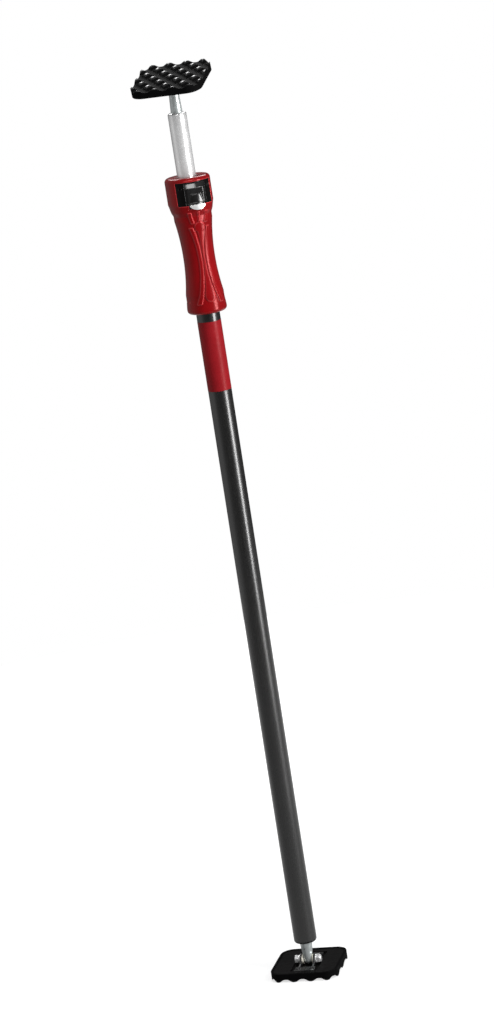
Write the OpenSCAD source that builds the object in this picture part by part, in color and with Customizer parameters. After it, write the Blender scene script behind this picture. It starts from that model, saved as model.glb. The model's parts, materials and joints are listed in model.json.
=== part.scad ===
// Adjustable steel prop: a plated tube that slides in a painted one, a red screw
// grip with a one-hand clamp in its collar, and a rubber-faced pad on a fork hinge
// at each end. It stands on the foot pad: Z = 0 is the tips of the foot's tread,
// the tubes run up +Z, and both hinge bolts lie along X. Sizes in millimetres.

/* [Tubes] */
// Outside diameter of the outer tube
outer_d = 28; // [24:0.5:34]
// Wall of the outer tube
outer_wall = 1.5; // [1:0.1:1.8]
// Length of the outer tube
outer_len = 906.5; // [500:0.5:1800]
// Outside diameter of the inner tube
inner_d = 22; // [16:0.5:22.6]
// Wall of the inner tube
inner_wall = 1.5; // [1:0.1:2]
// Length of the inner tube
inner_len = 850; // [420:1:1700]
// Length of inner tube that shows above the grip
inner_show = 74.5; // [20:0.5:300]
// Length of the bare red sleeve round the outer tube
label_len = 83.5; // [40:0.5:150]
// Bare tube between the grip and the sleeve
label_gap = 10.5; // [4:0.5:60]

/* [Pads] */
// Side of the square pads
pad_size = 84; // [70:1:120]
// Corner radius of the pads
pad_corner = 16; // [8:1:20]
// Height of the tread studs
stud_h = 3.5; // [2:0.1:5]
// Stud columns along the front edge
stud_columns = 4; // [3:1:6]
// Stud rows from front to back, the two edge rows counted as halves
stud_rows = 6; // [4:2:8]
// Lean of the head pad towards the front, on its hinge
head_tilt = 13.5; // [0:0.5:30]

/* [Hinges] */
// Height of the hinge bolt above the tread
pivot_h = 13; // [12.6:0.1:16]
// Diameter of the hinge bolt
bolt_d = 6; // [5:0.5:7]
// Hinge bolt to the end of the outer tube
foot_neck_len = 23.5; // [20:0.5:45]
// Hinge bolt to the end of the inner tube
head_neck_len = 32; // [20:0.5:50]
// Diameter of the foot neck where it enters its tube
foot_neck_d = 15.5; // [13:0.1:18]
// Diameter of the head neck where it enters its tube
head_neck_d = 13.8; // [11.2:0.1:14.5]
// Diameter of the rounded neck tips
neck_tip_d = 11; // [9:0.1:11]

/* [Grip] */
// Height of the whole grip
grip_h = 161.5; // [156:0.5:200]
// Wall of the grip at its waist
waist_wall = 2.8; // [2:0.1:5]
// Extra radius of the grip above and below its waist
waist_dip = 3.8; // [2:0.1:6]
// Radial thickness of the clamp space in the collar, outside the inner tube
lock_space = 12.4; // [12:0.1:15]
// Wall of the collar
collar_wall = 3.3; // [2.6:0.1:4]
// Direction that the clamp lever faces, turned from the front
grip_yaw = 32; // [-180:1:180]
// How far the outer tube reaches into the grip with the jack run down
tube_in_grip = 116; // [80:1:116]

/* [Clamp] */
// Thickness of each clamp plate
plate_t = 3; // [2:0.1:3.2]
// Lean of the clamp plates when they grip
plate_tilt = 2.7; // [1:0.1:3]
// Half the width of the window in the collar, as an angle round the axis
window_half = 52; // [44:1:58]
// Width of the lever
lever_w = 24; // [19:0.5:25]

/* [Hidden] */
$fn = 64;

red = [0.66, 0.06, 0.11];
black = [0.09, 0.09, 0.10];
zinc = [0.80, 0.81, 0.83];
paint = [0.30, 0.30, 0.32];
nylon = [0.88, 0.87, 0.82];

cut = 0.5;                // how far a cutting body passes the face it cuts
fit = 0.05;               // radial clearance of a running fit
seat = 0.1;               // clearance of a piece that sits still in its pocket

// Pads, from the tread upwards
rim_w = 3;                // width of the rubber lip round the backing plate
web_t = 1.5;              // rubber between the studs and the backing plate
plate_body = 4.8;         // thickness of the backing plate
lip_up = 0.7;             // how far the rubber lip stands above the plate
pocket_floor = 2;         // plate left under the pocket
fork_t = 2.5;             // thickness of the fork's feet
ear_t = 2;                // thickness of the fork's ears
web_z = stud_h + web_t;
plate_top = web_z + plate_body;
fork_z = web_z + pocket_floor;
pad_t = plate_top + lip_up;
plate_size = pad_size - 2 * rim_w - 2 * seat;
fork_foot_half = 12.5;    // half the width of the fork's feet
fork_open = 17;           // front to back half length of the gap between the feet
fork_end = 29;            // front to back half length of the fork
pocket_end = fork_end + 1.5;
rivet_x = 8;
rivet_y = (fork_open + fork_end) / 2;
rivet_r = 1.8;

// Studs: rhombic, on a staggered grid, left standing between two families of grooves
pitch_x = pad_size / stud_columns;
pitch_y = pad_size / stud_rows;
groove_angle = atan2(pitch_y, pitch_x / 2);
groove_step = pitch_x * sin(groove_angle);
stud_flat = 2;            // width left on top of a stud
groove_floor = 5.6;       // width of a groove at its floor
groove_mouth = groove_step - stud_flat;

// Hinge hardware, outwards from the neck
neck_half = neck_tip_d / 2;
friction_t = 1.9;
ear_in = neck_half + friction_t + 2 * fit;
ear_out = ear_in + ear_t;
ear_r = 7;
washer_t = 1.2;
spring_washer_t = 1.4;
washer_r = pivot_h - fork_z - 0.25;
hex_across = 10;
head_t = 4;
nut_t = 5;
pocket_half = ear_out + washer_t + spring_washer_t + head_t + 1.2;
neck_flat_h = washer_r + 1.75;  // height of the flats on the neck above the bolt

// Rolled-in tube ends
foot_roll = 3.5;
head_roll = 2.6;
lip_gap = 0.3;
flange_t = 5;
plug_h = 14;

// Heights of the main pieces
outer_r = outer_d / 2;
outer_bore = outer_r - outer_wall;
inner_r = inner_d / 2;
inner_bore = inner_r - inner_wall;
outer_z = pivot_h + foot_neck_len;
outer_top = outer_z + outer_len;
grip_z = outer_top - tube_in_grip;
inner_top = grip_z + grip_h + inner_show;
inner_z = inner_top - inner_len;
head_pivot_z = inner_top + head_neck_len;
label_top = grip_z - label_gap;
label_t = 0.12;

// Grip, measured up from its lower end
sleeve_in = outer_r + 0.3;
sleeve_out = sleeve_in + 1.4;
waist_r = sleeve_out + seat + waist_wall;
body_r = waist_r + waist_dip;
lock_r = inner_r + lock_space;
collar_r = lock_r + collar_wall;
waist_z = 67;
waist_half = 44;          // half the height of the hollow of the waist
waist_arc = (waist_half * waist_half + waist_dip * waist_dip) / (2 * waist_dip);
foot_lip = 1;             // how far the lower lip of the grip stands out
foot_round = 4.4;
collar_z = grip_h - 45;   // where the grip starts to widen into the collar
top_round = 4.5;
split_groove = 0.6;       // width and depth of the groove between the halves
split_depth = 0.3;
rib_out = 1.1;            // how far the finger ribs stand out
boss_z = waist_z + 36;
leaf_z = waist_z - 46.5;
mouth_gap = 0.6;
groove_low = 1.6;         // groove for the lower bush
groove_high = 5.3;
bush_out = outer_r + 3;
nut_z = 7;
nut_h = 22;
nut_r = outer_r + 4;
seat_z = grip_h - 41.5;   // underside of the clamp's seat
seat_t = 4;
seat_hole = inner_r + 1;
seat_r = inner_r + 9.5;
fulcrum_y = inner_r + 3.5;
fulcrum_r = 1.2;
seat_top = seat_z + seat_t;
fulcrum_z = seat_top + fulcrum_r;
plate_z = fulcrum_z + fulcrum_r + 0.02;
release_r = inner_r + 8;
jam_r = inner_r + 7.2;
plate_hole = inner_r + 0.6;
plate_step = plate_t + fit;
tongue_half = 9.2;
tongue_end = collar_r + 2;
tongue_lip = 1.6;         // thickness of the turned-down end of the tongue
tongue_drop = 3;          // how far the end of the tongue hangs below the plate
tongue_round = 12.4;
roof_z = grip_h - 4.5;    // underside of the collar's top wall
top_hole = inner_r + 2.6;
top_flange_r = inner_r + 4.5;
top_flange_t = 1.8;
top_flange_z = roof_z - fit - top_flange_t;
spring_wire = 0.9;
spring_r = inner_r + 2.3;
spring_turns = 6;
spring_low = plate_z + 3 * plate_step + 0.3;
spring_top = top_flange_z - 0.3;
window_low = roof_z - 27.5;
cover_out = collar_r - 0.4;
cover_lip_r = lock_r - 1.4;
cover_lip = 3;            // how far the cover's edge reaches behind the shell, degrees
lever_half = lever_w / 2;
pin_y = collar_r - 6.7;
pin_z = roof_z - 7;
pin_r = 1.5;
hub_r = 2.8;
cheek_gap = 0.4;
cheek_t = 2.5;
lever_in = collar_r - 4.4;
lever_out = collar_r - 0.6;
toe_out = collar_r - 1.7;
toe_z = plate_z + plate_t + (toe_out - fulcrum_y) * sin(plate_tilt) + 0.3;
thumb_low = window_low + 2.2;
thumb_top = thumb_low + 11;
thumb_foot = 10;          // half the width of the thumb block at its foot
thumb_half = 6.8;         // half its width at its top
thumb_face = 4;           // half the width of its front face
brow_low = roof_z - 6.8;
brow_top = roof_z - 1.8;

// Screws that hold the two halves of the grip: distance from the axis, height,
// head seat and tip, the last two measured from the joint between the halves
screw_r = 1.3;
screw_head_r = 2;
screw_head_t = 1.8;
screws = [[nut_r + 2.1, nut_z + 8, 2.5, -6.5],
          [-nut_r - 2.1, nut_z + 8, 2.5, -6.5],
          [sleeve_out + 2.7, seat_z - 5, 7, -9],
          [-sleeve_out - 2.7, seat_z - 5, 7, -9],
          [lock_r - 2.8, roof_z - 8.5, 12, -9],
          [-lock_r + 2.8, roof_z - 8.5, 12, -9]];

// ---------- shared shapes ----------

module rounded_square(side, r) {
    square([side - 2 * r, side], center = true);
    square([side, side - 2 * r], center = true);
    for (x = [-1, 1], y = [-1, 1])
        translate([x * (side / 2 - r), y * (side / 2 - r)])
            circle(r = r);
}

// Upright ring between two radii and two heights
module ring(r_in, r_out, z_low, z_high) {
    translate([0, 0, z_low])
        difference() {
            cylinder(h = z_high - z_low, r = r_out);
            translate([0, 0, -cut])
                cylinder(h = z_high - z_low + 2 * cut, r = r_in);
        }
}

// Part of a ring, centred on the front (-Y), half_angle to each side
module front_ring(r_in, r_out, z_low, z_high, half_angle) {
    side = 80 * sin(half_angle);
    intersection() {
        ring(r_in, r_out, z_low, z_high);
        translate([0, 0, z_low - 1])
            linear_extrude(z_high - z_low + 2)
                polygon([[0, 0], [-side, -80 * cos(half_angle)], [-side, -80],
                         [side, -80], [side, -80 * cos(half_angle)]]);
    }
}

// Rod along X, from x_low to x_high, at a height and a distance to the back
module cross_rod(r, x_low, x_high, y, z, sides = 48) {
    translate([x_low, y, z])
        rotate([0, 90, 0])
            cylinder(h = x_high - x_low, r = r, $fn = sides);
}

// Extrudes an upright outline, drawn as (across, up), out of the front
module out_of_front(y_from, y_to) {
    translate([0, -y_from, 0])
        rotate([90, 0, 0])
            linear_extrude(y_to - y_from)
                children();
}

// Box that holds everything in front of the axis within half_w to each side
module front_box(half_w, z_low, z_high) {
    translate([-half_w, -60, z_low])
        cube([2 * half_w, 60, z_high - z_low]);
}

// Frames that carry the pieces to their places

module at_foot_pivot() {
    translate([0, 0, pivot_h])
        children();
}

module at_head_pivot() {
    translate([0, 0, head_pivot_z])
        rotate([180, 0, 0])
            children();
}

module at_head_pad() {
    translate([0, 0, head_pivot_z])
        rotate([head_tilt, 0, 0])
            rotate([180, 0, 0])
                translate([0, 0, -pivot_h])
                    children();
}

module at_grip() {
    translate([0, 0, grip_z])
        rotate([0, 0, grip_yaw])
            children();
}

// ---------- pad and fork, drawn with the tread at z = 0 facing down ----------

module groove(angle, offset) {
    rotate([0, 0, angle])
        translate([-pad_size, offset, 0])
            rotate([90, 0, 90])
                linear_extrude(2 * pad_size)
                    polygon([[-groove_mouth / 2, -cut], [groove_mouth / 2, -cut],
                             [groove_mouth / 2, 0], [groove_mouth / 2 - 1.4, stud_h * 0.14],
                             [groove_floor / 2, stud_h * 0.86],
                             [groove_floor / 2 - 1.4, stud_h],
                             [1.4 - groove_floor / 2, stud_h],
                             [-groove_floor / 2, stud_h * 0.86],
                             [1.4 - groove_mouth / 2, stud_h * 0.14],
                             [-groove_mouth / 2, 0]]);
}

module tread() {
    reach = ceil(pad_size * 0.7 / groove_step - 0.5);
    difference() {
        linear_extrude(stud_h)
            rounded_square(pad_size, pad_corner);
        for (angle = [groove_angle, -groove_angle], k = [-reach : reach - 1])
            groove(angle, (k + 0.5) * groove_step);
    }
}

module rivet_places() {
    for (x = [-rivet_x, rivet_x], y = [-rivet_y, rivet_y])
        translate([x, y, 0])
            children();
}

module pad() {
    tread();
    difference() {
        translate([0, 0, stud_h])
            linear_extrude(pad_t - stud_h)
                rounded_square(pad_size, pad_corner);
        translate([0, 0, web_z])
            linear_extrude(pad_t)
                rounded_square(pad_size - 2 * rim_w, pad_corner - rim_w);
    }
}

module backing_plate() {
    difference() {
        translate([0, 0, web_z])
            linear_extrude(plate_body)
                rounded_square(plate_size, pad_corner - rim_w - seat);
        translate([-pocket_half, -pocket_end, fork_z])
            cube([2 * pocket_half, 2 * pocket_end, pad_t]);
        rivet_places() {
            translate([0, 0, web_z - cut])
                cylinder(h = pad_t, r = rivet_r + fit);
            translate([0, 0, web_z - cut])
                cylinder(h = 1 + cut, r = 3);
        }
    }
}

// Outline of a fork ear from the side: front to back, up
module ear_outline() {
    translate([-fork_open - 2, fork_z])
        square([2 * fork_open + 4, fork_t]);
    polygon([[-fork_open, fork_z + fork_t - 0.1], [fork_open, fork_z + fork_t - 0.1],
             [ear_r + 3.5, fork_z + fork_t + 1], [ear_r - 0.6, pivot_h + 2.5],
             [-ear_r + 0.6, pivot_h + 2.5], [-ear_r - 3.5, fork_z + fork_t + 1]]);
    intersection() {
        translate([0, pivot_h])
            circle(r = ear_r);
        translate([-ear_r, fork_z])
            square([2 * ear_r, 2 * ear_r]);
    }
}

module fork() {
    difference() {
        union() {
            for (end = [-1, 1])
                translate([-fork_foot_half, end > 0 ? fork_open : -fork_end, fork_z])
                    cube([2 * fork_foot_half, fork_end - fork_open, fork_t]);
            for (side = [-ear_out, ear_in])
                translate([side, 0, 0])
                    rotate([90, 0, 90])
                        linear_extrude(ear_t)
                            ear_outline();
        }
        cross_rod(bolt_d / 2 + fit, -ear_out - cut, ear_out + cut, 0, pivot_h);
        rivet_places()
            translate([0, 0, fork_z - cut])
                cylinder(h = fork_t + 2 * cut, r = rivet_r + fit);
    }
}

module rivets() {
    dome = 4;
    rivet_places() {
        translate([0, 0, web_z])
            cylinder(h = 0.9, r = 2.9);
        translate([0, 0, web_z])
            cylinder(h = fork_z + fork_t - web_z, r = rivet_r);
        intersection() {
            translate([0, 0, fork_z + fork_t + 1.5 - dome])
                sphere(r = dome);
            translate([0, 0, fork_z + fork_t])
                cylinder(h = 3, r = 3.2);
        }
    }
}

module hex(x_low, x_high) {
    cross_rod(hex_across / sqrt(3), x_low, x_high, 0, pivot_h, 6);
}

module pivot_bolt() {
    seat_x = -ear_out - washer_t - spring_washer_t;
    cross_rod(bolt_d / 2, seat_x - 1, ear_out + washer_t + nut_t + 0.8, 0, pivot_h);
    intersection() {
        hex(seat_x - head_t, seat_x);
        cross_rod(hex_across / 2 + 0.45, seat_x - head_t, seat_x, 0, pivot_h);
    }
}

module pivot_nut() {
    seat_x = ear_out + washer_t;
    difference() {
        union() {
            hex(seat_x, seat_x + nut_t - 1);
            cross_rod(hex_across / 2 - 0.4, seat_x, seat_x + nut_t, 0, pivot_h);
        }
        cross_rod(bolt_d / 2 + 0.02, seat_x - cut, seat_x + nut_t + cut, 0, pivot_h);
    }
}

module washer(x_low, x_high, r) {
    difference() {
        cross_rod(r, x_low, x_high, 0, pivot_h);
        cross_rod(bolt_d / 2 + fit, x_low - cut, x_high + cut, 0, pivot_h);
    }
}

module pivot_washers() {
    washer(-ear_out - washer_t, -ear_out, washer_r);
    washer(ear_out, ear_out + washer_t, washer_r);
    difference() {
        washer(-ear_out - washer_t - spring_washer_t, -ear_out - washer_t, washer_r - 0.9);
        translate([-ear_out - 2 * spring_washer_t - washer_t, -0.4, pivot_h])
            cube([3 * spring_washer_t, 0.8, washer_r + cut]);
    }
}

module friction_washers() {
    washer(neck_half + fit, neck_half + fit + friction_t, washer_r);
    washer(-neck_half - fit - friction_t, -neck_half - fit, washer_r);
}

// ---------- necks and plugs, drawn from the hinge bolt upwards ----------

module neck(length, top_r, bore, wall, roll) {
    lip_top = length + wall;
    flange_top = lip_top + roll + flange_t;
    difference() {
        rotate_extrude() {
            intersection() {
                circle(r = neck_half);
                translate([0, -neck_half])
                    square([neck_half, neck_half + 0.5]);
            }
            polygon([[0, 0], [neck_half, 0], [top_r, length], [top_r, lip_top + fit],
                     [bore - roll + wall - 0.2, lip_top + fit],
                     [bore - roll + wall - 0.2, lip_top + roll],
                     [bore - seat, lip_top + roll], [bore - seat, flange_top],
                     [0, flange_top]]);
        }
        for (side = [-1, 1])
            translate([side > 0 ? neck_half : -neck_half - 10, -10, -10])
                cube([10, 20, 10 + neck_flat_h]);
        cross_rod(bolt_d / 2 + fit, -neck_half - 2, neck_half + 2, 0, 0);
    }
}

module plug(length, bore, wall, roll) {
    low = length + wall + roll + flange_t;
    difference() {
        translate([0, 0, low])
            cylinder(h = plug_h, r = bore - fit);
        translate([0, 0, low + 3])
            cylinder(h = plug_h, r = bore - 3);
    }
}

// ---------- tubes, drawn with the rolled end at z = 0 ----------

module rolled_outline(r, height, roll) {
    translate([0, roll])
        square([r, height - roll]);
    square([r - roll, height]);
    translate([r - roll, roll])
        circle(r = roll);
}

module rolled_tube(r, wall, height, roll, hole) {
    inner_roll = max(0.3, roll - wall);
    rotate_extrude()
        difference() {
            rolled_outline(r, height, roll);
            translate([0, wall])
                rolled_outline(r - wall, height, inner_roll);
            translate([0, -cut])
                square([hole, wall + 2 * cut]);
        }
}

// ---------- grip, drawn with its lower end at z = 0 and the lever at the front ----------

// Half outline of the grip, turned about its axis: a lower lip, a hollow waist and a
// wider collar on top; "out" moves the whole skin outwards
module grip_outline(out) {
    foot_r = body_r + foot_lip + out;
    difference() {
        union() {
            square([foot_r - foot_round, foot_round + 1]);
            translate([foot_r - foot_round, foot_round])
                circle(r = foot_round);
            polygon([[0, foot_round], [foot_r, foot_round], [foot_r, 6.5],
                     [body_r + out, 17], [body_r + out, collar_z],
                     [collar_r - 1.6 + out, collar_z + 6.5],
                     [collar_r - 0.5 + out, collar_z + 9],
                     [collar_r + out, collar_z + 14],
                     [collar_r + out, grip_h - top_round], [0, grip_h - top_round]]);
            translate([0, collar_z + 14])
                square([collar_r + out - top_round, grip_h - collar_z - 14]);
            translate([collar_r + out - top_round, grip_h - top_round])
                circle(r = top_round);
        }
        translate([waist_r + waist_arc, waist_z])
            circle(r = waist_arc - out, $fn = 720);
    }
}

module grip_skin(out) {
    rotate_extrude()
        grip_outline(out);
}

// Upright outline of the middle rib: round boss, thin waist and a leaf-shaped foot
module middle_rib() {
    leaf_r = 5.8;
    translate([0, boss_z])
        circle(r = 6.1);
    translate([0, leaf_z])
        circle(r = leaf_r);
    difference() {
        translate([-leaf_r, leaf_z])
            square([2 * leaf_r, boss_z - leaf_z]);
        for (side = [-1, 1])
            translate([side * (0.9 + 210), waist_z + 2])
                circle(r = 210, $fn = 1440);
    }
}

// Upright outline of one side rib: it hugs the waist and flares above and below
module side_rib() {
    intersection() {
        difference() {
            translate([2.5 + 150, waist_z - 4])
                circle(r = 150, $fn = 1440);
            translate([6.1 + 130, waist_z - 4])
                circle(r = 130, $fn = 1440);
        }
        translate([0, leaf_z - 8])
            square([16, boss_z - leaf_z + 8]);
    }
    polygon([[6, collar_z - 8.5], [9.8, collar_z - 8.5], [12.6, collar_z + 4.5],
             [8.6, collar_z + 4.5]]);
}

module finger_ribs() {
    intersection() {
        grip_skin(rib_out);
        out_of_front(0, 40) {
            middle_rib();
            side_rib();
            mirror([1, 0, 0])
                side_rib();
            translate([-1.1, boss_z + 4])
                square([2.2, collar_z + 4.5 - boss_z - 4]);
        }
    }
}

// Fine groove on the joint between the halves
module split_groove() {
    difference() {
        translate([-50, -split_groove / 2, -cut])
            cube([100, split_groove, grip_h + 2 * cut]);
        grip_skin(-split_depth);
    }
}

module grip_cavity() {
    bore = sleeve_out + seat;
    translate([0, 0, -cut])
        cylinder(h = groove_low + 2 * cut, r = outer_r + mouth_gap);
    translate([0, 0, groove_low])
        cylinder(h = groove_high - groove_low, r = bush_out + fit);
    cylinder(h = nut_z, r = outer_r + mouth_gap);
    translate([0, 0, nut_z - fit])
        cylinder(h = nut_h + fit, r = nut_r + seat);
    translate([0, 0, nut_z])
        cylinder(h = seat_z - nut_z, r = bore);
    translate([0, 0, seat_z - seat])
        cylinder(h = seat_t + seat + 0.02, r = seat_r + seat);
    translate([0, 0, seat_top])
        cylinder(h = roof_z - seat_top, r = lock_r);
    translate([0, 0, roof_z - cut])
        cylinder(h = grip_h - roof_z + 2 * cut, r = top_hole);
    front_ring(lock_r - 1, 60, window_low, roof_z, window_half);
    front_box(tongue_half + 0.6, plate_z - 1.2, window_low + cut);
}

// Turns a rod that lies along X into one along Y, its far end to the back
module to_back() {
    rotate([0, 0, 90])
        children();
}

module screw_cuts() {
    to_back()
        for (s = screws) {
            cross_rod(screw_r + fit, s[3] - 0.5, s[2] + cut, s[0], s[1]);
            cross_rod(screw_head_r + 0.2, s[2], 50, s[0], s[1]);
        }
}

// One half of the grip: side is 1 for the back half, -1 for the front one
module grip_half(side) {
    difference() {
        intersection() {
            union() {
                difference() {
                    union() {
                        grip_skin(0);
                        finger_ribs();
                    }
                    grip_cavity();
                    split_groove();
                }
                to_back()
                    for (s = [screws[4], screws[5]])
                        cross_rod(3.3, s[3] - 1.4, s[2], s[0], s[1]);
            }
            translate([-60, side > 0 ? 0 : -60, -cut])
                cube([120, 60, grip_h + 2 * cut]);
        }
        screw_cuts();
    }
}

module grip_screws() {
    to_back()
        for (s = screws) {
            cross_rod(screw_r, s[3], s[2] + cut, s[0], s[1]);
            cross_rod(screw_head_r, s[2], s[2] + screw_head_t, s[0], s[1]);
        }
}

// Carries a piece into the tilted rest of the clamp plates
module on_fulcrum() {
    translate([0, -fulcrum_y, fulcrum_z])
        rotate([-plate_tilt, 0, 0])
            translate([0, fulcrum_y, -fulcrum_z])
                children();
}

// How far a plate is pushed to the front so that its hole stays round the tube
function plate_shift(n) = -0.5 * (n + 0.5) * plate_step * sin(plate_tilt);

module clamp_plate(n, r) {
    translate([0, plate_shift(n), plate_z + n * plate_step])
        difference() {
            cylinder(h = plate_t, r = r);
            translate([0, 0, -cut])
                cylinder(h = plate_t + 2 * cut, r = plate_hole);
        }
}

module tongue() {
    low = plate_z - tongue_drop;
    intersection() {
        union() {
            ring(release_r - 2, tongue_end, plate_z, plate_z + plate_t);
            ring(tongue_end - tongue_lip, tongue_end, low, plate_z + plate_t);
        }
        out_of_front(0, 40)
            intersection() {
                translate([-tongue_half, low])
                    square([2 * tongue_half, plate_t + tongue_drop]);
                translate([0, low + tongue_round])
                    circle(r = tongue_round);
            }
    }
}

module lever_side() {
    translate([pin_y, pin_z])
        circle(r = hub_r);
    translate([pin_y, pin_z - hub_r + 0.3])
        square([lever_in - pin_y + 1, 2 * hub_r - 0.6]);
    polygon([[lever_in, brow_top], [lever_out + 3, brow_top], [lever_out + 3, brow_low],
             [lever_in + 2, brow_low - 1.2], [lever_in + 2, thumb_low],
             [lever_in, thumb_low]]);
}

module lever_toe() {
    intersection() {
        difference() {
            cylinder(h = thumb_low + 2, r = toe_out);
            translate([-lever_half, -toe_out + 2.4, -cut])
                cube([lever_w, 2 * toe_out, grip_h]);
        }
        front_box(tongue_half - 1, toe_z, thumb_low + 2);
    }
}

// Four-sided block for the thumb, wider at its foot, with bevelled sides
module thumb_block() {
    hull() {
        out_of_front(lever_in + 1, lever_in + 1.2)
            polygon([[-thumb_foot, thumb_low], [thumb_foot, thumb_low],
                     [thumb_half, thumb_top], [-thumb_half, thumb_top]]);
        out_of_front(lever_out - 0.2, lever_out)
            polygon([[-thumb_face - 2, thumb_low + 1], [thumb_face + 2, thumb_low + 1],
                     [thumb_face, thumb_top - 1], [-thumb_face, thumb_top - 1]]);
    }
}

module lever() {
    difference() {
        intersection() {
            union() {
                rotate([90, 0, -90])
                    translate([0, 0, -lever_half])
                        linear_extrude(lever_w)
                            lever_side();
                thumb_block();
                lever_toe();
            }
            cylinder(h = grip_h, r = lever_out);
        }
        cross_rod(pin_r + fit, -lever_half - cut, lever_half + cut, -pin_y, pin_z);
    }
}

module cover() {
    open_half = lever_half + cheek_gap;
    difference() {
        union() {
            front_ring(cover_lip_r - 0.2, cover_out, window_low + seat, roof_z - seat,
                       window_half - 0.3);
            front_ring(cover_lip_r, lock_r - seat, window_low + 3, roof_z - 2 * seat,
                       window_half + cover_lip);
            intersection() {
                for (side = [-1, 1])
                    translate([side > 0 ? open_half : -open_half - cheek_t, -pin_y - 6,
                               pin_z - 4.5])
                        cube([cheek_t, 9, 9]);
                cylinder(h = grip_h, r = cover_out);
            }
        }
        translate([-open_half, -60, window_low - cut])
            cube([2 * open_half, 60, brow_top + 0.6 - window_low + cut]);
        cross_rod(pin_r + fit, -40, 40, -pin_y, pin_z);
    }
}

// ---------- sub-parts ----------

module foot_pad() {
    color(black)
        pad();
}

module foot_plate() {
    color(black)
        backing_plate();
}

module foot_bracket() {
    color(zinc)
        fork();
}

module foot_rivets() {
    color(zinc)
        rivets();
}

module foot_pivot_bolt() {
    color(zinc)
        pivot_bolt();
}

module foot_pivot_nut() {
    color(zinc)
        pivot_nut();
}

module foot_pivot_washers() {
    color(zinc)
        pivot_washers();
}

module foot_friction_washers() {
    color(nylon)
        friction_washers();
}

module foot_neck() {
    color(zinc)
        at_foot_pivot()
            neck(foot_neck_len, foot_neck_d / 2, outer_bore, outer_wall, foot_roll);
}

module foot_plug() {
    color(nylon)
        at_foot_pivot()
            plug(foot_neck_len, outer_bore, outer_wall, foot_roll);
}

module outer_tube() {
    color(paint)
        translate([0, 0, outer_z])
            rolled_tube(outer_r, outer_wall, outer_len, foot_roll, foot_neck_d / 2 + lip_gap);
}

module tube_label() {
    color(red)
        ring(outer_r, outer_r + label_t, label_top - label_len, label_top);
}

module mouth_bush() {
    color(nylon)
        translate([0, 0, outer_top]) {
            ring(inner_r + fit, outer_bore - fit, -30, 1.5);
            ring(inner_r + fit, outer_r, 0, 1.5);
        }
}

module grip_bush() {
    color(nylon)
        at_grip()
            ring(outer_r + fit, bush_out, groove_low + fit, groove_high - fit);
}

module jack_nut() {
    color(zinc)
        at_grip()
            ring(outer_r + fit, nut_r, nut_z, nut_z + nut_h);
}

module jack_sleeve() {
    color(zinc)
        at_grip() {
            ring(sleeve_in, sleeve_out, nut_z + nut_h, seat_z + 1);
            ring(seat_hole, seat_r, seat_z, seat_top);
            cross_rod(fulcrum_r, -9, 9, -fulcrum_y, fulcrum_z);
            translate([-9, -fulcrum_y - 1, seat_top - 1])
                cube([18, 2, 1 + fulcrum_r]);
        }
}

module handle_front() {
    color(red)
        at_grip()
            grip_half(-1);
}

module handle_back() {
    color(red)
        at_grip()
            grip_half(1);
}

module handle_screws() {
    color(black)
        at_grip()
            grip_screws();
}

module lock_cover() {
    color(black)
        at_grip()
            cover();
}

module trigger() {
    color(black)
        at_grip()
            lever();
}

module trigger_pin() {
    reach = lever_half + cheek_gap + cheek_t - 0.2;
    color(zinc)
        at_grip()
            cross_rod(pin_r, -reach, reach, -pin_y, pin_z);
}

module release_plate() {
    color(zinc)
        at_grip()
            on_fulcrum() {
                clamp_plate(0, release_r);
                tongue();
            }
}

module jam_plates() {
    color(zinc)
        at_grip()
            on_fulcrum()
                for (n = [1, 2])
                    clamp_plate(n, jam_r);
}

module plate_spring() {
    step = (spring_top - spring_low - 2 * spring_wire) / (spring_turns - 1);
    color(zinc)
        at_grip()
            rotate_extrude() {
                for (n = [0 : spring_turns - 1])
                    translate([spring_r, spring_low + spring_wire + n * step])
                        circle(r = spring_wire);
                translate([spring_r - 0.25, spring_low + spring_wire])
                    square([0.5, spring_top - spring_low - 2 * spring_wire]);
            }
}

module top_bush() {
    color(nylon)
        at_grip() {
            ring(inner_r + fit, top_hole - 2 * fit, top_flange_z, grip_h - 0.4);
            ring(inner_r + fit, top_flange_r, top_flange_z, top_flange_z + top_flange_t);
        }
}

module inner_tube() {
    color(zinc)
        translate([0, 0, inner_top])
            mirror([0, 0, 1])
                rolled_tube(inner_r, inner_wall, inner_len, head_roll, head_neck_d / 2 + lip_gap);
}

module inner_bush() {
    color(nylon)
        translate([0, 0, inner_z]) {
            ring(inner_r, outer_bore - fit, -2, 22);
            ring(inner_bore, outer_bore - fit, -2, 0);
        }
}

module head_neck() {
    color(zinc)
        at_head_pivot()
            neck(head_neck_len, head_neck_d / 2, inner_bore, inner_wall, head_roll);
}

module head_plug() {
    color(nylon)
        at_head_pivot()
            plug(head_neck_len, inner_bore, inner_wall, head_roll);
}

module head_bracket() {
    color(zinc)
        at_head_pad()
            fork();
}

module head_rivets() {
    color(zinc)
        at_head_pad()
            rivets();
}

module head_pivot_bolt() {
    color(zinc)
        at_head_pad()
            pivot_bolt();
}

module head_pivot_nut() {
    color(zinc)
        at_head_pad()
            pivot_nut();
}

module head_pivot_washers() {
    color(zinc)
        at_head_pad()
            pivot_washers();
}

module head_friction_washers() {
    color(nylon)
        at_head_pad()
            friction_washers();
}

module head_plate() {
    color(black)
        at_head_pad()
            backing_plate();
}

module head_pad() {
    color(black)
        at_head_pad()
            pad();
}

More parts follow.
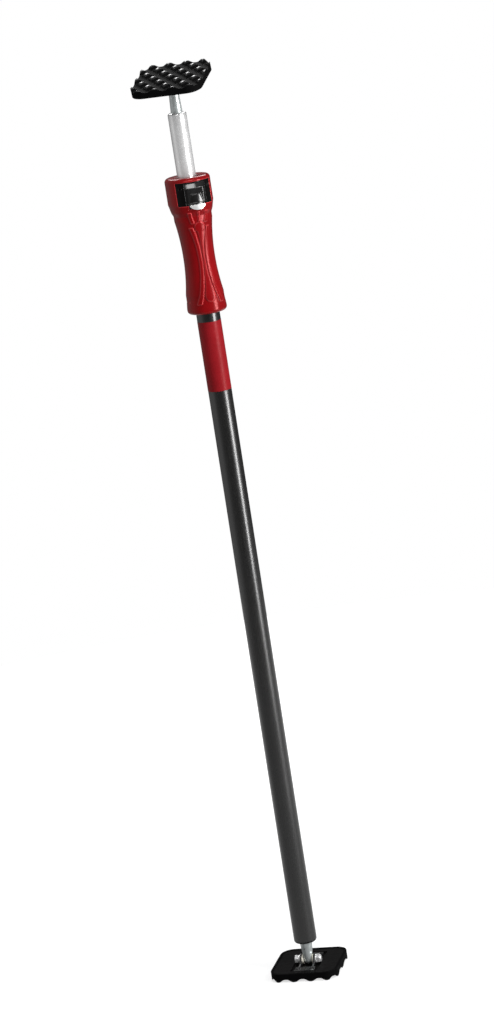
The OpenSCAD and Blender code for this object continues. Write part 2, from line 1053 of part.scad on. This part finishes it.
foot_pad();
foot_plate();
foot_bracket();
foot_rivets();
foot_pivot_bolt();
foot_pivot_nut();
foot_pivot_washers();
foot_friction_washers();
foot_neck();
foot_plug();
outer_tube();
tube_label();
mouth_bush();
grip_bush();
jack_nut();
jack_sleeve();
handle_front();
handle_back();
handle_screws();
lock_cover();
trigger();
trigger_pin();
release_plate();
jam_plates();
plate_spring();
top_bush();
inner_tube();
inner_bush();
head_neck();
head_plug();
head_bracket();
head_rivets();
head_pivot_bolt();
head_pivot_nut();
head_pivot_washers();
head_friction_washers();
head_plate();
head_pad();
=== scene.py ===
import bpy
import json
import math
from mathutils import Matrix, Vector


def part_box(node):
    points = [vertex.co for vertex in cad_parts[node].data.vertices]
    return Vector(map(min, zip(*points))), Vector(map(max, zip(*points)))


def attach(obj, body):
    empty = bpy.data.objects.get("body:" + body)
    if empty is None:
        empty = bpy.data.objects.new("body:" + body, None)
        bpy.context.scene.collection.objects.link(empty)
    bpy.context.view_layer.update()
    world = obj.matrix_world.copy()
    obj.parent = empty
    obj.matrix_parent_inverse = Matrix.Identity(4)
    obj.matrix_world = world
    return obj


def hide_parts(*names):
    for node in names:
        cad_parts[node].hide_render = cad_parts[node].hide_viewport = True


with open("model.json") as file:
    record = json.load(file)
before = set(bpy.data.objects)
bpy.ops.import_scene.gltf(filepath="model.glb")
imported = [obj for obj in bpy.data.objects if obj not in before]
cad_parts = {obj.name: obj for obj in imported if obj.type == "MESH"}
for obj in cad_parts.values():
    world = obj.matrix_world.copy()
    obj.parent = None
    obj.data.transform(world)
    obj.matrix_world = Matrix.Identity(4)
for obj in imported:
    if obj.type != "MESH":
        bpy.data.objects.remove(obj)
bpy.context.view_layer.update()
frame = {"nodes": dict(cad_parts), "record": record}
nodes = frame["nodes"]


# ---------------------------------------------------------------- camera
def make_camera():
    """Long lens, a little above the middle, leaned so that the prop stands askew."""
    azimuth, elevation, roll = math.radians(15.5), math.radians(13.0), math.radians(8.85)
    distance, target = 4.01, Vector((0, 0, 0.5826))
    back = Vector((math.sin(azimuth) * math.cos(elevation),
                   -math.cos(azimuth) * math.cos(elevation), math.sin(elevation)))
    data = bpy.data.cameras.new("camera")
    data.lens = 118.5
    data.sensor_width = 36
    data.shift_x = 0.0079
    data.clip_start, data.clip_end = 0.1, 40
    cam = bpy.data.objects.new("camera", data)
    bpy.context.scene.collection.objects.link(cam)
    cam.location = target + back * distance
    turn = (-back).to_track_quat("-Z", "Y").to_matrix().to_4x4()
    cam.rotation_euler = (turn @ Matrix.Rotation(-roll, 4, "Z")).to_euler()
    bpy.context.scene.camera = cam


make_camera()


# ---------------------------------------------------------------- shader nodes
def rgba(value):
    """A colour, or one grey level, as the four numbers that Blender stores."""
    return (*value, 1) if isinstance(value, tuple) else (value, value, value, 1)


def shade(colour, factor):
    """A colour made brighter or darker, never past white."""
    return tuple(min(1.0, v * factor) for v in colour)


class Tree:
    """Short ways to build the node tree of a material or of the world."""

    def __init__(self, owner):
        owner.use_nodes = True
        self.tree = owner.node_tree

    def node(self, kind, **props):
        node = self.tree.nodes.new(kind)
        for key, value in props.items():
            setattr(node, key, value)
        return node

    def feed(self, socket, value):
        """Give an input another node's output, or a fixed number, vector or colour."""
        if isinstance(value, bpy.types.NodeSocket):
            self.tree.links.new(value, socket)
        else:
            socket.default_value = rgba(value) if socket.type == "RGBA" else value

    def calc(self, operation, a, b, c=0.0):
        node = self.node("ShaderNodeMath", operation=operation)
        for i, value in enumerate((a, b, c)):
            self.feed(node.inputs[i], value)
        return node.outputs[0]

    def dot(self, a, b):
        node = self.node("ShaderNodeVectorMath", operation="DOT_PRODUCT")
        self.feed(node.inputs[0], a)
        self.feed(node.inputs[1], b)
        return node.outputs["Value"]

    def ramp(self, factor, *stops):
        """A ramp through (factor, colour or grey level) pairs."""
        node = self.node("ShaderNodeValToRGB")
        marks = node.color_ramp.elements
        while len(marks) < len(stops):
            marks.new(0.5)
        for i, (place, value) in enumerate(stops):
            marks[i].position = place
            marks[i].color = rgba(value)
        self.feed(node.inputs["Fac"], factor)
        return node.outputs["Color"]

    def mix(self, factor, a, b, blend="MIX"):
        node = self.node("ShaderNodeMix", data_type="RGBA", blend_type=blend)
        for key, value in (("Factor", factor), ("A", a), ("B", b)):
            self.feed(node.inputs[key], value)
        return node.outputs["Result"]

    def ray(self, kind):
        """1 for rays of one kind, 0 for all others."""
        return self.node("ShaderNodeLightPath").outputs[kind]

    def toward(self, vector, azimuth):
        """0 for a direction away from an azimuth (0 is the front) to 1 for one along it.

        A point's value rises the same way, from 1 m behind the origin to 1 m before it.
        """
        a = math.radians(azimuth)
        return self.calc("MULTIPLY_ADD", self.dot(vector, (math.sin(a), -math.cos(a), 0)),
                         0.5, 0.5)


class Mat(Tree):
    """A material with one Principled shader, each bump laid over the one before."""

    # Dot products of the rounded normal and the face's: at an edge, and away from any.
    AT_EDGE, OFF_EDGE = 0.80, 0.997

    def __init__(self, name):
        self.material = bpy.data.materials.new(name)
        super().__init__(self.material)
        self.shader = self.tree.nodes["Principled BSDF"]
        self.normal = None

    def put(self, **values):
        """Set the shader's inputs. An underscore stands for a space in their names."""
        for key, value in values.items():
            self.feed(self.shader.inputs[key.replace("_", " ")], value)

    def shade_by(self, normal):
        self.normal = normal
        self.put(Normal=normal)

    def coords(self, stretch=(1, 1, 1)):
        """The piece's own coordinates in metres, scaled along each axis."""
        mapping = self.node("ShaderNodeMapping")
        own = self.node("ShaderNodeTexCoord").outputs["Object"]
        self.feed(mapping.inputs["Scale"], stretch)
        self.feed(mapping.inputs["Vector"], own)
        return mapping.outputs["Vector"]

    def axes(self):
        """The piece's own X, Y and Z, each by itself."""
        node = self.node("ShaderNodeSeparateXYZ")
        self.feed(node.inputs[0], self.coords())
        return [node.outputs[axis] for axis in "XYZ"]

    def noise(self, scale, detail=4, rough=0.5, stretch=(1, 1, 1)):
        node = self.node("ShaderNodeTexNoise")
        for key, value in (("Scale", scale), ("Detail", detail), ("Roughness", rough),
                           ("Vector", self.coords(stretch))):
            self.feed(node.inputs[key], value)
        return node.outputs["Fac"]

    def height(self, low, high):
        """0 below one height of the piece, rising to 1 at another."""
        above = self.calc("SUBTRACT", self.axes()[2], low)
        return self.ramp(self.calc("DIVIDE", above, high - low), (0.0, 0.0), (1.0, 1.0))

    def soften(self, radius):
        """Shade edges as if rounded. Gives back how near an edge is, from 0 to 1."""
        bevel = self.node("ShaderNodeBevel", samples=8)
        self.feed(bevel.inputs["Radius"], radius)
        self.shade_by(bevel.outputs["Normal"])
        face = self.node("ShaderNodeNewGeometry").outputs["Normal"]
        return self.ramp(self.dot(self.normal, face), (self.AT_EDGE, 1.0),
                         (self.OFF_EDGE, 0.0))

    def bump(self, height, strength, depth):
        """Shade the surface as raised by up to depth (m) where height is 1."""
        node = self.node("ShaderNodeBump")
        for key, value in (("Strength", strength), ("Distance", depth), ("Height", height)):
            self.feed(node.inputs[key], value)
        if self.normal is not None:
            self.feed(node.inputs["Normal"], self.normal)
        self.shade_by(node.outputs["Normal"])


# ---------------------------------------------------------------- kinds of material
FINE_EDGE = 0.0005      # the shaded rounding of rubber and paint, in metres


def plastic(name, colour, rough, spec=0.35, edge=0.0006, wear_and_highlight=1.6, tint=1.0, slope=None,
            grain=900.0):
    """Moulded plastic: flow marks in colour and gloss, scuffs, edges painted lighter as
    wear and as painted highlight, fine grain.

    edge is the shaded rounding, wear_and_highlight how much lighter the edges are painted,
    as edge wear and as a painted highlight, and tint the green and blue of the highlight.
    slope is (low, high, drop): between two heights the surface is shaded as leaning back by
    drop.
    """
    spread, wear_and_highlight_pale = 0.12, 0.02
    m = Mat(name)
    near = m.soften(edge)
    if slope:
        low, high, drop = slope
        m.bump(m.calc("SUBTRACT", 1.0, m.height(low, high)), strength=1.0, depth=drop)
    flow = m.noise(scale=28, detail=3)
    base = m.ramp(flow, (0.3, shade(colour, 1 - spread)), (0.7, shade(colour, 1 + spread)))
    scuff = m.ramp(m.noise(scale=55, detail=8, rough=0.72), (0.60, 0.0), (0.78, 0.35))
    base = m.mix(scuff, base, shade(colour, 1.5))
    # Edges are painted lighter: partly edge wear, partly a painted highlight on ribs and
    # bevels.
    edge_wear_and_highlight = tuple(wear_and_highlight * v + wear_and_highlight_pale * (wear_and_highlight - 1) for v in colour)
    cloud = m.noise(scale=120, detail=6, rough=0.65)
    m.put(Base_Color=m.mix(near, base, edge_wear_and_highlight),
          Roughness=m.ramp(cloud, (0.3, rough * 0.8), (0.75, rough * 1.35)),
          Specular_IOR_Level=spec, Specular_Tint=(1, tint, tint))
    m.bump(m.noise(scale=grain, detail=2), strength=0.4, depth=0.00002)
    m.bump(m.noise(scale=70, detail=3), strength=0.15, depth=0.0001)
    return m.material


def rubber(name, colour, rough, face):
    """Moulded rubber: matt and finely pitted, with stud tops smoothed by use.

    face is the mount on the studs' tops. Gloss goes by the depth under it.
    """
    rubbed_depth, uneven = 0.0025, 0.0006
    m = Mat(name)
    m.soften(FINE_EDGE)
    dust = m.noise(scale=60, detail=6, rough=0.65)
    point, out = Vector(face["pos_m"]), Vector(face["axis"])
    depth = m.calc("SUBTRACT", point.dot(out), m.dot(m.coords(), out))
    wave = m.calc("MULTIPLY", m.noise(scale=210), uneven)
    below = m.calc("MULTIPLY", m.calc("SUBTRACT", depth, wave), 1 / rubbed_depth)
    m.put(Base_Color=m.ramp(dust, (0.45, colour), (0.85, shade(colour, 1.8))),
          Roughness=m.ramp(below, (0.0, rough * 0.5), (0.35, rough), (1.0, 0.7)),
          Specular_IOR_Level=m.ramp(below, (0.0, 0.6), (0.25, 0.35), (0.6, 0.03)))
    m.bump(m.noise(scale=2600, detail=2), strength=0.25, depth=0.00003)
    m.bump(m.noise(scale=320), strength=0.25, depth=0.0001)
    return m.material


def metal(name, colour, rough, stretch=(1, 1, 1), metallic=1.0):
    """Plated or plain steel: drawing marks along the piece, cloudy gloss."""
    edge, spread = 0.0004, 0.06
    m = Mat(name)
    m.soften(edge)
    cloud = m.noise(scale=45, detail=5, rough=0.6)
    gloss = m.noise(scale=90, detail=5, rough=0.65)
    m.put(Base_Color=m.ramp(cloud, (0.3, shade(colour, 1 - spread)),
                            (0.72, shade(colour, 1 + spread))),
          Roughness=m.ramp(gloss, (0.3, rough * 0.75), (0.75, rough * 1.3)),
          Metallic=metallic)
    m.bump(m.noise(scale=420, rough=0.6, stretch=stretch), strength=0.3, depth=0.000003)
    return m.material


def thread(m, low, high, pitch):
    """Rolled thread on a tube about Z, as a bump between two heights. Gives back where."""
    x, y, z = m.axes()
    turns = m.calc("DIVIDE", m.calc("ARCTAN2", y, x), 2 * math.pi)
    phase = m.calc("SUBTRACT", m.calc("DIVIDE", z, pitch), turns)
    flank = m.calc("PINGPONG", phase, 0.5)
    here = m.calc("MULTIPLY", m.calc("GREATER_THAN", z, low), m.calc("LESS_THAN", z, high))
    m.bump(m.calc("MULTIPLY", flank, here), strength=1.0, depth=0.0008)
    return here


def paint(name, colour, rough, spec=0.5, cut=None):
    """Baked paint on steel: orange peel, faint long scuffs, fine light speckle.

    cut is (low, high, pitch) of a thread on the piece, where the paint is lighter.
    """
    m = Mat(name)
    m.soften(FINE_EDGE)
    speck = m.ramp(m.noise(scale=420, detail=7, rough=0.8), (0.40, shade(colour, 0.75)),
                   (0.66, shade(colour, 1.5)))
    scuff = m.noise(scale=260, detail=5, rough=0.7, stretch=(1, 1, 0.04))
    m.bump(m.noise(scale=700, detail=2), strength=0.35, depth=0.00004)
    m.bump(m.noise(scale=60, detail=2), strength=0.2, depth=0.0001)
    if cut:
        speck = m.mix(thread(m, *cut), speck, shade(colour, 1.6))
    m.put(Base_Color=speck, Specular_IOR_Level=spec,
          Roughness=m.ramp(scuff, (0.35, rough * 0.85), (0.8, rough * 1.3)))
    return m.material


# ---------------------------------------------------------------- materials
RUBBER_BLACK = (0.0014, 0.0014, 0.0015)
ALONG_TUBE = (1, 1, 0.05)
THREAD_PITCH = 0.004

# The thread begins one pitch above the grip's lower edge at rest and ends with the tube.
thread_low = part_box("handle_front")[0][2] + THREAD_PITCH
thread_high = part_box("outer_tube")[1][2]

# The lever's brow leans back by 3 mm between 5.4 and 0.1 mm below its top.
trigger_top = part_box("trigger")[1][2]
brow = (trigger_top - 0.0054, trigger_top - 0.0001, 0.0030)

mounts = {mount["name"]: mount for mount in frame["record"]["mounts"]}

# The red's edges are painted 2.6 times lighter: a painted highlight on the ribs, with some
# edge wear.
red_m = plastic("red_plastic", (0.158, 0.0020, 0.0032), rough=0.20, spec=0.40, edge=0.0019,
                wear_and_highlight=2.6, tint=0.30)
film_m = plastic("red_film", (0.185, 0.0060, 0.0090), rough=0.36, spec=0.15, wear_and_highlight=1.0,
                 tint=0.5, grain=500)
black_m = plastic("black_plastic", (0.0018, 0.0017, 0.0017), rough=0.20, spec=0.14,
                  edge=0.0009)
# The lever's edges are painted 3 times lighter: a painted highlight on the thumb block's
# bevels, with some edge wear.
lever_m = plastic("black_lever", (0.0024, 0.0023, 0.0023), rough=0.17, spec=0.60,
                  edge=0.0009, wear_and_highlight=3.0, slope=brow)
plate_m = plastic("black_backing", (0.0018, 0.0016, 0.0016), rough=0.50, spec=0.05)
nylon_m = plastic("nylon", (0.62, 0.60, 0.52), rough=0.42, spec=0.4)
dark_nylon_m = plastic("dark_nylon", (0.020, 0.004, 0.004), rough=0.40, spec=0.2)
foot_rubber_m = rubber("rubber_foot", RUBBER_BLACK, rough=0.42, face=mounts["foot_face"])
head_rubber_m = rubber("rubber_head", RUBBER_BLACK, rough=0.42, face=mounts["head_face"])
zinc_m = metal("plated_steel", (0.82, 0.82, 0.82), rough=0.25, stretch=ALONG_TUBE,
               metallic=0.66)
zinc_blue_m = metal("plated_neck", (0.56, 0.60, 0.595), rough=0.32, stretch=(1, 1, 6),
                    metallic=0.6)
steel_m = metal("steel", (0.42, 0.42, 0.43), rough=0.34, stretch=(1, 1, 5))
screw_m = metal("black_screws", (0.05, 0.05, 0.052), rough=0.38)
paint_m = paint("tube_paint", (0.0030, 0.0029, 0.0027), rough=0.28, spec=0.85,
                cut=(thread_low, thread_high, THREAD_PITCH))
coated_m = paint("black_steel", (0.006, 0.006, 0.0062), rough=0.30)

LOOKS = {
    foot_rubber_m: ["foot_pad"],
    head_rubber_m: ["head_pad"],
    plate_m: ["foot_plate", "head_plate"],
    black_m: ["lock_cover"],
    lever_m: ["trigger"],
    zinc_m: ["foot_pivot_bolt", "foot_pivot_nut", "foot_pivot_washers", "trigger_pin",
             "release_plate", "inner_tube", "head_pivot_bolt", "head_pivot_nut",
             "head_pivot_washers"],
    zinc_blue_m: ["foot_neck", "head_neck"],
    nylon_m: ["foot_friction_washers", "head_friction_washers", "foot_plug", "head_plug",
              "mouth_bush", "grip_bush", "inner_bush"],
    dark_nylon_m: ["top_bush"],
    paint_m: ["outer_tube"],
    red_m: ["handle_front", "handle_back"],
    film_m: ["tube_label"],
    steel_m: ["jack_nut", "jack_sleeve", "jam_plates", "plate_spring"],
    coated_m: ["foot_bracket", "head_bracket", "foot_rivets", "head_rivets"],
    screw_m: ["handle_screws"],
}
for mat, names in LOOKS.items():
    for name in names:
        data = nodes[name].data
        data.materials.clear()
        data.materials.append(mat)


# ---------------------------------------------------------------- clamp spring
def make_spring(node, wire, coils, sides=10, steps=28):
    """Coil spring wound to the size of its CAD stand-in, its end coils lying closed.

    wire is the wire's radius, sides its corners, and steps the rings in one turn. Between
    the end coils the wire climbs evenly, and inner is how much of that stretch is wound.
    """
    (x0, y0, z0), (x1, y1, z1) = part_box(node)
    middle = Vector(((x0 + x1) / 2, (y0 + y1) / 2, 0))
    up = Vector((0, 0, 1))
    radius = (x1 - x0) / 2 - wire
    low, high = z0 + wire, z1 - wire
    open_coils = coils - 2
    count = coils * steps
    verts, faces = [], []
    for i in range(count + 1):
        turn = i / steps
        inner = min(max(turn - 1, 0), open_coils) / open_coils
        closed = 2 * wire * (turn - inner * open_coils)
        rise = closed + inner * (high - low - 4 * wire)
        angle = 2 * math.pi * turn
        out = Vector((math.cos(angle), math.sin(angle), 0))
        centre = middle + out * radius + up * (low + rise)
        for k in range(sides):
            a = 2 * math.pi * k / sides
            verts.append(centre + wire * (math.cos(a) * out + math.sin(a) * up))
        if i:
            a, b = (i - 1) * sides, i * sides
            faces += [(a + k, a + (k + 1) % sides, b + (k + 1) % sides, b + k)
                      for k in range(sides)]
    first, last = range(sides), range(count * sides, (count + 1) * sides)
    faces += [tuple(first), tuple(reversed(last))]
    mesh = bpy.data.meshes.new("clamp_spring_coil")
    mesh.from_pydata(verts, [], faces)
    for poly in mesh.polygons:
        poly.use_smooth = len(poly.vertices) == 4
    mesh.materials.append(steel_m)
    coil = bpy.data.objects.new("clamp_spring_coil", mesh)
    bpy.context.scene.collection.objects.link(coil)
    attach(coil, "grip")
    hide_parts(node)


make_spring("plate_spring", 0.0009, 6)


# ---------------------------------------------------------------- stage
FRONT, BACK_RIGHT = 15, 130         # azimuths in degrees that the mirrored room goes by
ROOM_LIGHT = (0.42, 0.42, 0.425)    # what falls on the object from all round


def make_floor():
    """A pale floor, white to the camera apart from the object's shadow.

    Its glow for the camera grows with the distance from the object. For what gloss
    mirrors, only its back part glows.
    """
    bpy.ops.mesh.primitive_circle_add(vertices=96, radius=1.7, fill_type="NGON")
    floor = bpy.context.object
    floor.name = "floor"
    m = Mat("floor")
    away = m.node("ShaderNodeVectorMath", operation="LENGTH")
    m.feed(away.inputs[0], m.coords())
    glow = m.ramp(away.outputs["Value"], (0.15, 0.66), (1.0, 0.96))
    seen = m.calc("MULTIPLY", m.ray("Is Camera Ray"), glow)
    pale = m.ramp(m.toward(m.coords(), FRONT), (0.1, 0.55), (0.6, 0.0))
    mirrored = m.calc("MULTIPLY", m.ray("Is Glossy Ray"), pale)
    m.put(Base_Color=0.35, Roughness=0.9, Specular_IOR_Level=0.1, Emission_Color=1.0,
          Emission_Strength=m.calc("ADD", seen, mirrored))
    floor.data.materials.append(m.material)


def make_room():
    """White to the camera, and an even pale grey as light.

    What gloss mirrors is a room that is pale at the sides, dark at the front and behind,
    and dimmer at the back right.
    """
    world = bpy.data.worlds.new("room")
    bpy.context.scene.world = world
    t = Tree(world)
    way = t.node("ShaderNodeTexCoord").outputs["Generated"]
    front = t.ramp(t.toward(way, FRONT),
                   (0.0, 0.06), (0.22, 0.40), (0.60, 0.66), (0.84, 0.22), (1.0, 0.10))
    right = t.ramp(t.toward(way, BACK_RIGHT),
                   (0.0, 1.0), (0.62, 1.0), (0.90, 0.35), (1.0, 0.25))
    gloss = t.mix(1, front, right, blend="MULTIPLY")
    lit = t.mix(t.ray("Is Glossy Ray"), ROOM_LIGHT, gloss)
    seen = t.mix(t.ray("Is Camera Ray"), lit, 1.0)
    background = t.tree.nodes["Background"]
    t.feed(background.inputs["Color"], seen)
    t.feed(background.inputs["Strength"], 1)


def lamp(name, size, power, place, aim):
    """A white rectangular lamp, in metres and watts."""
    data = bpy.data.lights.new(name, "AREA")
    data.shape = "RECTANGLE"
    data.size, data.size_y = size
    data.energy = power
    o = bpy.data.objects.new(name, data)
    bpy.context.scene.collection.objects.link(o)
    o.location = place
    o.rotation_euler = (Vector(aim) - Vector(place)).to_track_quat("-Z", "Y").to_euler()


make_floor()
make_room()
lamp("key", (0.50, 1.8), 55, (1.75, -0.55, 0.95), (0, 0, 0.80))
lamp("top_front", (1.3, 0.6), 27, (0.66, -1.22, 2.37), (0, 0, 0.95))
lamp("top_back", (1.4, 0.7), 24, (-0.35, 1.6, 2.2), (0, 0, 1.0))

view = bpy.context.scene.view_settings
view.view_transform = "Standard"
